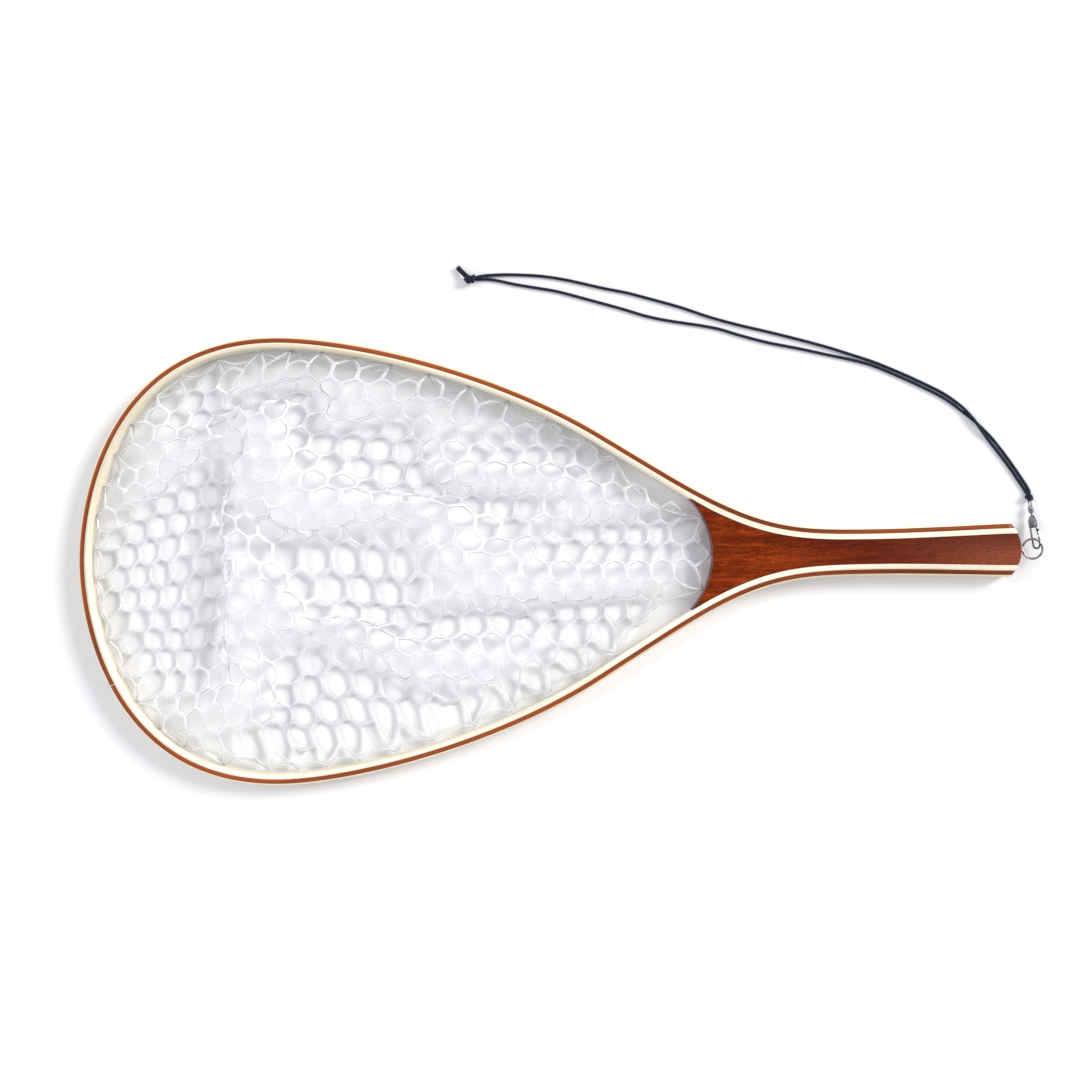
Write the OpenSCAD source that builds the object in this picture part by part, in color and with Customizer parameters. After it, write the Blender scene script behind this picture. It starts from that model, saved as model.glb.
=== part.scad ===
// Landing net: a bent laminated hoop and handle, a moulded mesh bag tied inside the hoop, a screw
// eye in the handle's end, and an elastic lanyard on a swivel snap. It lies flat on z = 0, with the
// handle towards +X. Units are millimetres.

/* [Hoop and handle] */
// Length of the wood, from the hoop's end to the handle's end
wood_l = 626.5; // [600:0.5:650]
// Width over the hoop at its widest
hoop_w = 298; // [280:1:310]
// Distance of the widest place from the hoop's end
widest_at = 132; // [125:1:140]
// Distance of the straight flank from the hoop's end
flank_at = 348; // [340:1:355]
// Half width of the outline where the straight flank starts
flank_half = 82; // [78:1:86]
// Angle between the flank and the handle
flank_angle = 32; // [28:0.5:35]
// Length of the straight flank
flank_l = 45; // [30:1:60]
// Distance of the narrowest place of the handle from the hoop's end
neck_at = 530; // [520:1:545]
// Width of the handle at its narrowest
neck_w = 32; // [30:0.5:36]
// Width of the handle at its end
end_w = 36.5; // [33:0.5:38]
// Height of the wood off the table
wood_t = 15; // [13:0.5:18]
// Radius of the handle's rounded end
end_r = 25; // [23:1:32]
// Radius of the hollow throat between the hoop and the handle
throat_r = 53.5; // [50:0.5:58]
// Distance of the throat's deepest point from the hoop's end
throat_at = 421.5; // [415:0.5:428]

/* [Laminations, from the outside] */
// Thickness of the outer veneer
veneer_t = 1.3; // [1:0.1:1.6]
// Thickness of the mahogany strip
mahogany_t = 2.9; // [2.4:0.1:3.4]
// Thickness of the ash strip
ash_t = 3.5; // [3:0.1:4]
// How much lower than the wood the rounded outer veneer is, on each side
veneer_drop = 0.9; // [0.6:0.1:1.5]

/* [Mesh bag] */
// Clear gap between the hoop and the bag's wall
bag_gap = 2.5; // [2:0.1:4]
// Thickness of a solid sheet with about the weight of the bag
bag_t = 1.2; // [0.8:0.1:2]
// Height of the bag's rim above the table
rim_z = 9; // [8.5:0.5:10]
// Diameter of the tie through each hole
tie_d = 1.4; // [1:0.1:1.6]

/* [Screw eye] */
// Outer diameter of the eye
eye_d = 14.7; // [13:0.1:16]
// Diameter of its wire
eye_wire = 1.5; // [1.2:0.1:1.6]
// How far the eye stands off the handle's end
eye_neck = 1.65; // [1:0.05:2.5]
// Length of its threaded shank in the handle
shank_l = 16; // [12:1:20]

/* [Snap] */
// Where the snap hangs on the eye, from the eye's side towards its end
hang_at = 20; // [10:1:30]
// Diameter of the hook's wire
snap_wire = 1.2; // [1:0.1:1.3]
// Width of the hook between the middles of its two sides
snap_w = 6; // [5.6:0.1:6.6]
// Tip of the snap down to the table, about the eye
snap_tilt = 9.1; // [8.5:0.1:9.3]
// Turn of the snap on its own length
snap_roll = 62; // [50:1:66]
// Turn of the snap seen from above
snap_yaw = 5.4; // [0:0.1:8]

/* [Lanyard] */
// Diameter of the elastic cord
cord_d = 2; // [1.8:0.1:2]
// Diameter of the knot at the far end
end_knot_d = 7.4; // [7:0.1:8]
// Diameter of the knot at the snap
clip_knot_d = 5.8; // [5.4:0.1:5.8]

/* [Hidden] */
eye_out = eye_d + eye_neck;
x_apex = -(wood_l + eye_out) / 2;
x_end = x_apex + wood_l;
x_throat = x_apex + throat_at - throat_r;
mid_z = wood_t / 2;
wall_t = veneer_t + mahogany_t + ash_t;
eye_r = (eye_d - eye_wire) / 2;
x_eye = x_end + eye_out - eye_d / 2;
half_w = snap_w / 2;
pivot = [1.7, 9.8];       // the gate's rivet, in the snap's own frame
gate_tip = [half_w, 2.4];
barrel = [18, 22.6];      // the swivel's barrel, from and to, along the snap
knot_at = 28.7;           // the knot's centre along the snap
butt_i = 8;               // the ring of the outline where the outer strips are joined

// The half outline, from the hoop's end to the handle's end, as four cubic curves and a straight
flank_dir = [cos(flank_angle), -sin(flank_angle)];
apex_p = [x_apex, 0];
wide_p = [x_apex + widest_at, hoop_w / 2];
flank_p = [x_apex + flank_at, flank_half];
flank_q = flank_p + flank_dir * flank_l;
neck_p = [x_apex + neck_at, neck_w / 2];
end_p = [x_end + 1, end_w / 2];
curve_a = [apex_p, apex_p + [0, 47], wide_p - [109, 0], wide_p];
curve_b = [wide_p, wide_p + [47, 0], flank_p - flank_dir * 85, flank_p];
curve_c = [flank_q, flank_q + flank_dir * 78, neck_p - [58, 0], neck_p];
curve_d = [neck_p, neck_p + [30, 0], end_p - [30, 0.3], end_p];

// A point of a cubic curve, the outward normal there, and the two together as a ring of the outline
function on(c, t) = pow(1 - t, 3) * c[0] + 3 * pow(1 - t, 2) * t * c[1]
    + 3 * (1 - t) * t * t * c[2] + t * t * t * c[3];
function along(c, t) = pow(1 - t, 2) * (c[1] - c[0]) + 2 * (1 - t) * t * (c[2] - c[1])
    + t * t * (c[3] - c[2]);
function left_of(v) = [-v[1], v[0]] / norm(v);
function rings(c, n, from = 1) = [for (i = [from:n]) [on(c, i / n), left_of(along(c, i / n))]];
flank_rings = [for (i = [1:4]) [flank_p + flank_dir * flank_l * i / 4, left_of(flank_dir)]];
OUTLINE = concat(rings(curve_a, 18, 0), rings(curve_b, 18), flank_rings, rings(curve_c, 14),
    rings(curve_d, 5));
N = len(OUTLINE) - 1;
N_THROAT = 42;            // the last ring that borders the bag
N_CORE = 41;              // a ring where the throat's circle is wider than the hoop

// The outline moved inward by d, between two of its rings, on the side s (1 upper, -1 lower)
function edge(d, from, to, s = 1) = [for (i = [from:to])
    let (p = OUTLINE[i][0] - OUTLINE[i][1] * d) [p[0], s * p[1]]];
function backward(list) = [for (i = [len(list) - 1:-1:0]) list[i]];

// The lanyard's two strands, from the far knot to the snap: x, y and height above the table
ROUTE_A = [[-56.8, 187.4, 2.2], [-52, 188.7, 1.2], [-47.5, 189.4, 0.3], [-37.6, 189.8, 0],
    [-25.9, 189.5, 0], [-10.2, 188.3, 0], [7, 185.3, 0], [30.3, 179.7, 0], [46.6, 176.2, 0],
    [63.8, 171.4, 0], [82, 166, 0], [102.3, 158.9, 0], [121.5, 153.4, 0], [141.8, 148.3, 0],
    [162.1, 142.9, 0], [181.8, 137.2, 0], [195.5, 132.6, 0], [211.2, 127.2, 0],
    [229.5, 119.4, 0], [242.6, 113.2, 0], [256.8, 105.9, 0], [266.4, 99.2, 0], [272.1, 93.7, 1.5],
    [277.9, 86.8, 2.2], [283, 79.5, 1.5], [289, 71.6, 0], [298.9, 58.4, 0], [305.5, 48.6, 0],
    [312, 38.4, 0]];
ROUTE_B = [[-56.8, 186.8, 0.2], [-52, 186.9, 0], [-47.7, 186.9, 0], [-40.6, 185.9, 0],
    [-29.4, 183.3, 0], [-15.3, 180.7, 0], [0.4, 177.7, 0], [23.2, 171.3, 0], [44, 165.2, 0],
    [57.7, 160.8, 0], [69.9, 157.9, 0], [84, 155.4, 0], [96.2, 153.4, 0], [108.4, 150.8, 0],
    [121.5, 146.6, 0], [140.8, 141.3, 0], [162.1, 136.8, 0], [178.8, 132.9, 0], [195.5, 129.1, 0],
    [210.2, 124.9, 0], [228.4, 117.1, 0], [241.5, 110.9, 0], [255.3, 103.8, 0], [264.6, 97.5, 0],
    [270.9, 92.5, 0], [277.9, 86.8, 0], [284.3, 80.7, 0], [291.1, 73.2, 0], [300.9, 60, 0],
    [307.5, 50.2, 0], [313.9, 39.7, 0]];

// A round rod between two points, and a ball
module rod(p, q, r) {
    v = q - p;
    translate(p) rotate([0, acos(v[2] / norm(v)), atan2(v[1], v[0])])
        cylinder(h = norm(v), r = r, $fn = 32);
}
module ball(p, r) {
    translate(p) rotate_extrude($fn = 32) intersection() {
        circle(r = r, $fn = 32);
        translate([0, -r]) square([r, 2 * r]);
    }
}

// Everything that the handle's rounded end keeps
module within_end() {
    intersection() {
        children();
        translate([0, 0, -1]) union() {
            translate([x_apex - 1, -hoop_w]) cube([wood_l - end_r + 1, 2 * hoop_w, wood_t + 2]);
            translate([x_end - end_r, 0]) cylinder(h = wood_t + 2, r = end_r, $fn = 96);
        }
    }
}

// A lamination between two depths and two rings of the outline, on one side of the net
module strip(d1, d2, from, to, s, drop = 0) {
    within_end() translate([0, 0, drop]) linear_extrude(wood_t - 2 * drop)
        polygon(concat(edge(d1, from, to, s), backward(edge(d2, from, to, s))));
}

// The outer laminations are bent as two lengths, which meet in a butt joint on the lower side
module outer_upper(d1, d2, drop = 0) {
    within_end() translate([0, 0, drop]) linear_extrude(wood_t - 2 * drop)
        polygon(concat(backward(edge(d1, 1, N)), edge(d1, 0, butt_i, -1),
            backward(edge(d2, 0, butt_i, -1)), edge(d2, 1, N)));
}

// The place of a tie: halfway along a facet of the hoop's inner face, pointing outward
module at_tie(i, s) {
    pair = edge(wall_t, i, i + 1, s);
    p = (pair[0] + pair[1]) / 2;
    v = pair[1] - pair[0];
    translate([p[0], p[1], mid_z]) rotate([0, 90, atan2(s * v[0], -s * v[1])]) children();
}
module at_every_tie() {
    for (i = [1:2:N_CORE - 3], s = [-1, 1]) at_tie(i, s) children();
}
module at_throat_tie() {
    for (a = [-28, 0, 28])
        translate([x_throat, 0, mid_z]) rotate([0, 90, a]) translate([0, 0, throat_r]) children();
}

// The bag's plan, at a distance in from the hoop's inner face and the throat
module bag_plan(d) {
    intersection() {
        polygon(concat(edge(wall_t + d, 0, N_THROAT + 4), backward(edge(wall_t + d, 1, N_THROAT + 4, -1))));
        union() {
            translate([x_apex, -hoop_w]) square([OUTLINE[N_CORE][0][0] - x_apex, 2 * hoop_w]);
            translate([x_throat, 0]) circle(r = throat_r - d, $fn = 96);
        }
    }
}

// The eye's own shape, which also cuts its seat in the handle
module eye_shape(grow = 0) {
    translate([x_eye, 0, mid_z]) rotate_extrude($fn = 96)
        translate([eye_r, 0]) circle(r = eye_wire / 2 + grow, $fn = 32);
    translate([x_eye - eye_r, 0, mid_z]) rotate([0, -90, 0])
        cylinder(h = shank_l + eye_neck + eye_wire / 2, r = 1.3, $fn = 32);
}

// The snap's own frame: its origin is the middle of the eye's wire, and it runs along +Y
module at_snap() {
    translate([x_eye + eye_r * sin(hang_at), eye_r * cos(hang_at), mid_z])
        rotate([-snap_tilt, 0, 0]) rotate([0, 0, snap_yaw]) rotate([0, -snap_roll, 0]) children();
}

// A cord swept along a route, with a ring at each of its points
function dir_at(r, i) = let (v = r[min(i + 1, len(r) - 1)] - r[max(i - 1, 0)]) v / norm(v);
function side_at(v) = let (w = cross(v, [0, 0, 1])) w / norm(w);
function ring_at(r, i, n) = let (v = dir_at(r, i), s = side_at(v), u = cross(s, v))
    [for (k = [0:n - 1]) r[i] + [0, 0, cord_d / 2 + 0.05]
        + cord_d / 2 * (s * cos(360 * k / n) + u * sin(360 * k / n))];
module cord(r, n = 8) {
    m = len(r);
    polyhedron(
        points = [for (i = [0:m - 1]) each ring_at(r, i, n)],
        faces = concat([[for (k = [0:n - 1]) k]],
            [for (i = [0:m - 2], k = [0:n - 1]) let (a = i * n, b = a + n, j = (k + 1) % n)
                each [[a + k, b + k, b + j], [a + k, b + j, a + j]]],
            [[for (k = [n - 1:-1:0]) (m - 1) * n + k]]));
}

module veneer_upper() {
    color("wheat") outer_upper(0, veneer_t, veneer_drop);
}
module veneer_lower() {
    color("wheat") strip(0, veneer_t, butt_i, N, -1, veneer_drop);
}
module mahogany_upper() {
    color("sienna") outer_upper(veneer_t, veneer_t + mahogany_t);
}
module mahogany_lower() {
    color("sienna") strip(veneer_t, veneer_t + mahogany_t, butt_i, N, -1);
}

// The inner lamination runs whole round the hoop, and is drilled for the ties
module ash_strip() {
    color("cornsilk") difference() {
        within_end() linear_extrude(wood_t)
            polygon(concat(backward(edge(wall_t - ash_t, 1, N)), edge(wall_t - ash_t, 0, N, -1),
                backward(edge(wall_t, 0, N, -1)), edge(wall_t, 1, N)));
        at_every_tie() translate([0, 0, -1]) cylinder(h = ash_t, r = tie_d / 2 + 0.1, $fn = 24);
    }
}

// The core fills the handle behind the throat. It is bored for the shank and drilled for the ties
module handle_core() {
    color("saddlebrown") difference() {
        within_end() linear_extrude(wood_t)
            polygon(concat(edge(wall_t, N_CORE, N), backward(edge(wall_t, N_CORE, N, -1))));
        translate([x_throat, 0, -1]) cylinder(h = wood_t + 2, r = throat_r, $fn = 128);
        eye_shape(0.05);
        at_throat_tie() translate([0, 0, -1]) cylinder(h = 7, r = tie_d / 2 + 0.1, $fn = 24);
    }
}

// The bag lies collapsed inside the hoop: a low tray, open at the top
module net_bag() {
    color("whitesmoke") difference() {
        translate([0, 0, 0.5]) linear_extrude(rim_z - 0.5) bag_plan(bag_gap);
        translate([0, 0, 0.5 + bag_t]) linear_extrude(rim_z) bag_plan(bag_gap + bag_t);
    }
}

// Each tie is a short thread from its hole to the bag's rim, with a knot against the wood
module tie(inside) {
    translate([0, 0, -bag_gap - bag_t / 2]) cylinder(h = bag_gap + inside, r = tie_d / 2, $fn = 24);
    ball([0, 0, -1.1], 1);
}
module net_ties() {
    color("white") {
        at_every_tie() tie(2.5);
        at_throat_tie() tie(5);
    }
}

module screw_eye() {
    color("silver") eye_shape();
}

// The hook: one bent wire, from the clasp down the closed side and round to the tip
module snap_hook() {
    r = snap_wire / 2;
    color("silver") at_snap() {
        rod([-half_w, 12.8, 0], [-half_w, -half_w, 0], r);
        translate([0, -half_w]) rotate_extrude(angle = -180, $fn = 48)
            translate([half_w, 0]) circle(r = r, $fn = 24);
        rod([half_w, -half_w, 0], [half_w, 1.5, 0], r);
    }
}

// The clasp: a sheet folded over the neck, with the gate and the hook's wire between its leaves
module snap_clasp() {
    leaf = [[-3.7, 8.2], [2.9, 8.2], [3, 11.5], [1.3, 16.2], [-1.3, 16.2], [-3.7, 13.3]];
    color("gainsboro") at_snap() difference() {
        union() {
            for (z = [-0.9, 0.55]) translate([0, 0, z]) linear_extrude(0.35) polygon(leaf);
            translate([-1.3, 15.85, -0.9]) cube([2.6, 0.35, 1.8]);
        }
        translate([pivot[0], pivot[1], -2]) cylinder(h = 4, r = 0.5, $fn = 24);
    }
}
module gate_rivet() {
    color("gray") at_snap() translate(pivot) {
        translate([0, 0, -1.15]) cylinder(h = 2.3, r = 0.5, $fn = 24);
        for (z = [-1.15, 0.9]) translate([0, 0, z]) cylinder(h = 0.25, r = 0.9, $fn = 24);
    }
}

// The gate: an eyelet round the rivet, a wire that closes the hook, and a thumb tab
module snap_gate() {
    p = [pivot[0], pivot[1], 0];
    q = [gate_tip[0], gate_tip[1], 0];
    color("silver") at_snap() difference() {
        union() {
            translate([p[0], p[1], -0.5]) cylinder(h = 1, r = 1.1, $fn = 32);
            rod(p, q, 0.48);
            translate([2.3, 5.2, -0.35]) cube([2, 1.6, 0.7]);
        }
        translate([p[0], p[1], -1]) cylinder(h = 2, r = 0.55, $fn = 24);
    }
}

// The swivel: a stem with a round head, which the barrel turns on
module swivel_stem() {
    color("silver") at_snap() translate([0, 16.2, 0]) rotate([-90, 0, 0]) {
        cylinder(h = 4.4, r = 0.5, $fn = 24);
        translate([0, 0, 3.4]) cylinder(h = 1, r = 1, $fn = 24);
    }
}
module swivel_barrel() {
    l = barrel[1] - barrel[0];
    color("dimgray") at_snap() translate([0, barrel[0], 0]) rotate([-90, 0, 0]) difference() {
        cylinder(h = l, r = 1.7, $fn = 32);
        translate([0, 0, -1]) cylinder(h = 3, r = 0.6, $fn = 24);
        translate([0, 0, 1.2]) cylinder(h = 2, r = 1.15, $fn = 24);
    }
}
module swivel_loop() {
    w = 1.1;
    top = knot_at - w;
    color("silver") at_snap() {
        for (s = [-1, 1]) rod([s * w, barrel[1], 0], [s * w, top, 0], 0.35);
        translate([0, top]) rotate_extrude(angle = 180, $fn = 32)
            translate([w, 0]) circle(r = 0.35, $fn = 16);
    }
}
module clip_knot() {
    color("midnightblue") at_snap() ball([0, knot_at, 0], clip_knot_d / 2);
}

module strand_a() {
    color("midnightblue") cord(ROUTE_A);
}
module strand_b() {
    color("midnightblue") cord(ROUTE_B);
}
module end_knot() {
    color("midnightblue") ball([-58.9, 186.9, end_knot_d / 2], end_knot_d / 2);
}
module cord_tails() {
    color("midnightblue") {
        rod([-60.95, 187.8, 3], [-68.05, 195.1, 1.1], cord_d / 2);
        rod([-60.05, 188.6, 4.6], [-67.15, 195.9, 2.7], cord_d / 2);
    }
}

veneer_upper();
veneer_lower();
mahogany_upper();
mahogany_lower();
ash_strip();
handle_core();
net_bag();
net_ties();
screw_eye();
snap_hook();
snap_clasp();
gate_rivet();
snap_gate();
swivel_stem();
swivel_barrel();
swivel_loop();
clip_knot();
strand_a();
strand_b();
end_knot();
cord_tails();
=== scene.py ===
"""The landing net's looks: laminated wood, the collapsed mesh bag, the wire eye, the snap and the
elastic lanyard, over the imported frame. Metres, in the frame of the CAD model."""

import math
from collections import Counter

import bmesh
import bpy
import numpy as np
from mathutils import Matrix, Vector, noise
from mathutils.bvhtree import BVHTree
from mathutils.geometry import delaunay_2d_cdt


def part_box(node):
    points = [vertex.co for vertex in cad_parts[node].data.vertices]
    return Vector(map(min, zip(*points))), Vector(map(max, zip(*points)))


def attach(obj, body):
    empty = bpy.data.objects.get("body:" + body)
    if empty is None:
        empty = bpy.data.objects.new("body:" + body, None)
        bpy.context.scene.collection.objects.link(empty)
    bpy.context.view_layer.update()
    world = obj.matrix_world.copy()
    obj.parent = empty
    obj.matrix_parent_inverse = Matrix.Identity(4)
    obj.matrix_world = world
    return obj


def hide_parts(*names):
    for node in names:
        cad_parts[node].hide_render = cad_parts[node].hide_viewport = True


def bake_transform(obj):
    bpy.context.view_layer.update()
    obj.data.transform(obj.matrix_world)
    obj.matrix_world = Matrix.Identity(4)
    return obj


MM = 0.001

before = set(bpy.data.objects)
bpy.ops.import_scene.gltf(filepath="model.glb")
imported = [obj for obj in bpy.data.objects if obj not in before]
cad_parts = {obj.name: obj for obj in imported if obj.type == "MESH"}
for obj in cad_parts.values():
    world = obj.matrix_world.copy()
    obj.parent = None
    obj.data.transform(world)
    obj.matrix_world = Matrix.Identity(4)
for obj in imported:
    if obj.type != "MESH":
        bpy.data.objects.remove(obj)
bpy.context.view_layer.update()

# ---- sizes shared with the CAD model

X_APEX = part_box("veneer_upper")[0][0]
X_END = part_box("handle_core")[1][0]
WOOD_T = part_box("ash_strip")[1][2]
HALF_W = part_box("veneer_upper")[1][1]
MID_Z = WOOD_T / 2
VENEER, MAHOGANY, ASH = 1.3 * MM, 2.9 * MM, 3.5 * MM
WALL = VENEER + MAHOGANY + ASH
END_R = 25 * MM
THROAT_R = 53.5 * MM
X_THROAT = X_APEX + 421.5 * MM - THROAT_R
EYE_R, EYE_WIRE = 6.6 * MM, 1.5 * MM
X_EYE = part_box("screw_eye")[1][0] - EYE_R - EYE_WIRE / 2
CORD_D = 2 * MM

# ---- the outline of the wood


def cubic(c, t):
    """A point of a cubic curve and the outward normal there."""
    s = 1 - t
    p = s**3 * c[0] + 3 * s * s * t * c[1] + 3 * s * t * t * c[2] + t**3 * c[3]
    v = s * s * (c[1] - c[0]) + 2 * s * t * (c[2] - c[1]) + t * t * (c[3] - c[2])
    v = v / np.linalg.norm(v)
    return p, np.array((-v[1], v[0]))


DENSE = 3    # stations of the outline here for each one in the CAD model


def half_outline():
    """The upper outer edge from the hoop's end to the handle's end, as (point, outward normal)."""
    flank_angle = math.radians(32)
    way = np.array((math.cos(flank_angle), -math.sin(flank_angle)))
    apex = np.array((X_APEX, 0.0))
    wide = np.array((X_APEX + 0.132, HALF_W))
    flank = np.array((X_APEX + 0.348, 0.082))
    flank_end = flank + way * 0.045
    neck = np.array((X_APEX + 0.530, 0.016))
    end = np.array((X_END + 0.001, 0.01825))
    curves = (
        ((apex, apex + (0, 0.047), wide - (0.109, 0), wide), 18),
        ((wide, wide + (0.047, 0), flank - way * 0.085, flank), 18),
        ((flank, flank + way * 0.015, flank_end - way * 0.015, flank_end), 4),
        ((flank_end, flank_end + way * 0.078, neck - (0.058, 0), neck), 14),
        ((neck, neck + (0.030, 0), end - (0.030, 0.0003), end), 10),
    )
    stations = [cubic(curves[0][0], 0.0)]
    for c, n in curves:
        stations += [cubic(c, i / (n * DENSE)) for i in range(1, n * DENSE + 1)]
    return stations


HALF = half_outline()
POINTS = np.array([p for p, _ in HALF])
NORMALS = np.array([n for _, n in HALF])
LENGTHS = np.concatenate(([0], np.cumsum(np.linalg.norm(np.diff(POINTS, axis=0), axis=1))))
LOOP_L = LENGTHS[-1]


def at(s, d=0.0):
    """The point at a distance s along the outline, d in from its edge. s is negative below."""
    u = abs(s)
    p = np.array([np.interp(u, LENGTHS, POINTS[:, k]) for k in (0, 1)])
    n = np.array([np.interp(u, LENGTHS, NORMALS[:, k]) for k in (0, 1)])
    q = p - n / np.linalg.norm(n) * d
    return np.array((q[0], q[1] if s >= 0 else -q[1]))


# ---- mesh helpers


def new_object(name, verts, faces, smooth=True):
    mesh = bpy.data.meshes.new(name)
    mesh.from_pydata([tuple(v) for v in verts], [], [tuple(f) for f in faces])
    mesh.validate()
    mesh.polygons.foreach_set("use_smooth", [smooth] * len(mesh.polygons))
    ob = bpy.data.objects.new(name, mesh)
    bpy.context.scene.collection.objects.link(ob)
    return ob


def face_out(ob, weld=0.0):
    """Turns every face outwards, once points closer than weld are joined."""
    bm = bmesh.new()
    bm.from_mesh(ob.data)
    if weld:
        bmesh.ops.remove_doubles(bm, verts=bm.verts, dist=weld)
    bmesh.ops.recalc_face_normals(bm, faces=bm.faces)
    bm.to_mesh(ob.data)
    bm.free()


def sharpen(ob, degrees=35):
    """Smooth shading with sharp edges where the surface turns by more than this angle."""
    with bpy.context.temp_override(object=ob, active_object=ob, selected_objects=[ob]):
        bpy.ops.object.shade_smooth_by_angle(angle=math.radians(degrees))


def grid_faces(rows, cols):
    """The faces of a grid of points that are stored row by row."""
    return [(k, k + 1, k + cols + 1, k + cols)
            for i in range(rows - 1) for k in range(i * cols, (i + 1) * cols - 1)]


def ring_faces(rings, sides, closed=False):
    """The faces between rings of points, with a cap on each end of an open run."""
    faces = []
    for i in range(rings if closed else rings - 1):
        a, b = i * sides, (i + 1) % rings * sides
        for k in range(sides):
            j = (k + 1) % sides
            faces.append((a + k, a + j, b + j, b + k))
    if not closed:
        faces += [tuple(range(sides - 1, -1, -1)),
                  tuple(range((rings - 1) * sides, rings * sides))]
    return faces


def thicken(ob, thickness, edge):
    """Gives a surface the thickness of its sheet metal, and soft edges."""
    solid = ob.modifiers.new("Solidify", "SOLIDIFY")
    solid.thickness, solid.offset = thickness, 0
    soft = ob.modifiers.new("Bevel", "BEVEL")
    soft.width, soft.segments, soft.limit_method = edge, 2, "ANGLE"


def box_grid(name, place, us, vs, ws, grain=None):
    """A closed block: six grids of the points place(u, v, w), with grain(u, v, w) stored too."""
    verts, faces, marks = [], [], []
    sides = (
        (us, vs, lambda a, b: (a, b, ws[0]), False),
        (us, vs, lambda a, b: (a, b, ws[-1]), True),
        (us, ws, lambda a, b: (a, vs[0], b), True),
        (us, ws, lambda a, b: (a, vs[-1], b), False),
        (vs, ws, lambda a, b: (us[0], a, b), False),
        (vs, ws, lambda a, b: (us[-1], a, b), True),
    )
    for first, second, key, flip in sides:
        base = len(verts)
        n = len(second)
        for a in first:
            for b in second:
                k = key(a, b)
                verts.append(place(*k))
                marks.append(grain(*k) if grain else (0, 0, 0))
        for i in range(len(first) - 1):
            for j in range(n - 1):
                q = [base + i * n + j, base + (i + 1) * n + j]
                q += [q[1] + 1, q[0] + 1]
                faces.append(q if flip else q[::-1])
    ob = new_object(name, verts, faces)
    layer = ob.data.attributes.new("grain", "FLOAT_VECTOR", "POINT")
    layer.data.foreach_set("vector", np.array(marks, np.float32).ravel())
    face_out(ob, weld=2e-6)
    sharpen(ob)
    return ob


def tube(name, path, radius, sides=12, closed=False):
    """A round tube along a path. radius is a number or one for each point. UVs: length, round."""
    path = [Vector(p) for p in path]
    n = len(path)
    radii = [radius] * n if np.isscalar(radius) else list(radius)
    tangents = []
    for i in range(n):
        a = path[(i - 1) % n] if closed or i else path[0]
        b = path[(i + 1) % n] if closed or i < n - 1 else path[-1]
        tangents.append((b - a).normalized())
    side = tangents[0].orthogonal().normalized()
    verts, run = [], [0.0]
    for i in range(n):
        if i:
            side = (side - tangents[i] * side.dot(tangents[i])).normalized()
            run.append(run[-1] + (path[i] - path[i - 1]).length)
        up = tangents[i].cross(side)
        for k in range(sides):
            a = 2 * math.pi * k / sides
            verts.append(path[i] + (side * math.cos(a) + up * math.sin(a)) * radii[i])
    faces = ring_faces(n, sides, closed)
    ob = new_object(name, verts, faces)
    uv = ob.data.uv_layers.new(name="along")
    for f, poly in zip(faces, ob.data.polygons):
        seam = any(v % sides == 0 for v in f) and any(v % sides == sides - 1 for v in f)
        for li, v in zip(poly.loop_indices, poly.vertices):
            k = v % sides
            k = sides if seam and k == 0 and len(f) == 4 else k
            uv.data[li].uv = (run[min(v // sides, n - 1)], k / sides)
    return ob


def join(name, parts):
    """One object of several, keeping their layers and materials."""
    with bpy.context.temp_override(
        active_object=parts[0], object=parts[0], selected_editable_objects=parts,
        selected_objects=parts,
    ):
        bpy.ops.object.join()
    parts[0].name = name
    return parts[0]


def smooth_path(points, step=0.001):
    """A Catmull-Rom curve through the points, sampled about every step."""
    p = [Vector(q) for q in points]
    p = [p[0] * 2 - p[1]] + p + [p[-1] * 2 - p[-2]]
    out = []
    for i in range(1, len(p) - 2):
        n = max(2, int((p[i + 1] - p[i]).length / step))
        for k in range(n):
            t = k / n
            out.append(
                0.5 * (2 * p[i] + (p[i + 1] - p[i - 1]) * t
                       + (2 * p[i - 1] - 5 * p[i] + 4 * p[i + 1] - p[i + 2]) * t * t
                       + (3 * p[i] - p[i - 1] - 3 * p[i + 1] + p[i + 2]) * t**3)
            )
    return out + [p[-2]]


# ---- materials


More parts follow.
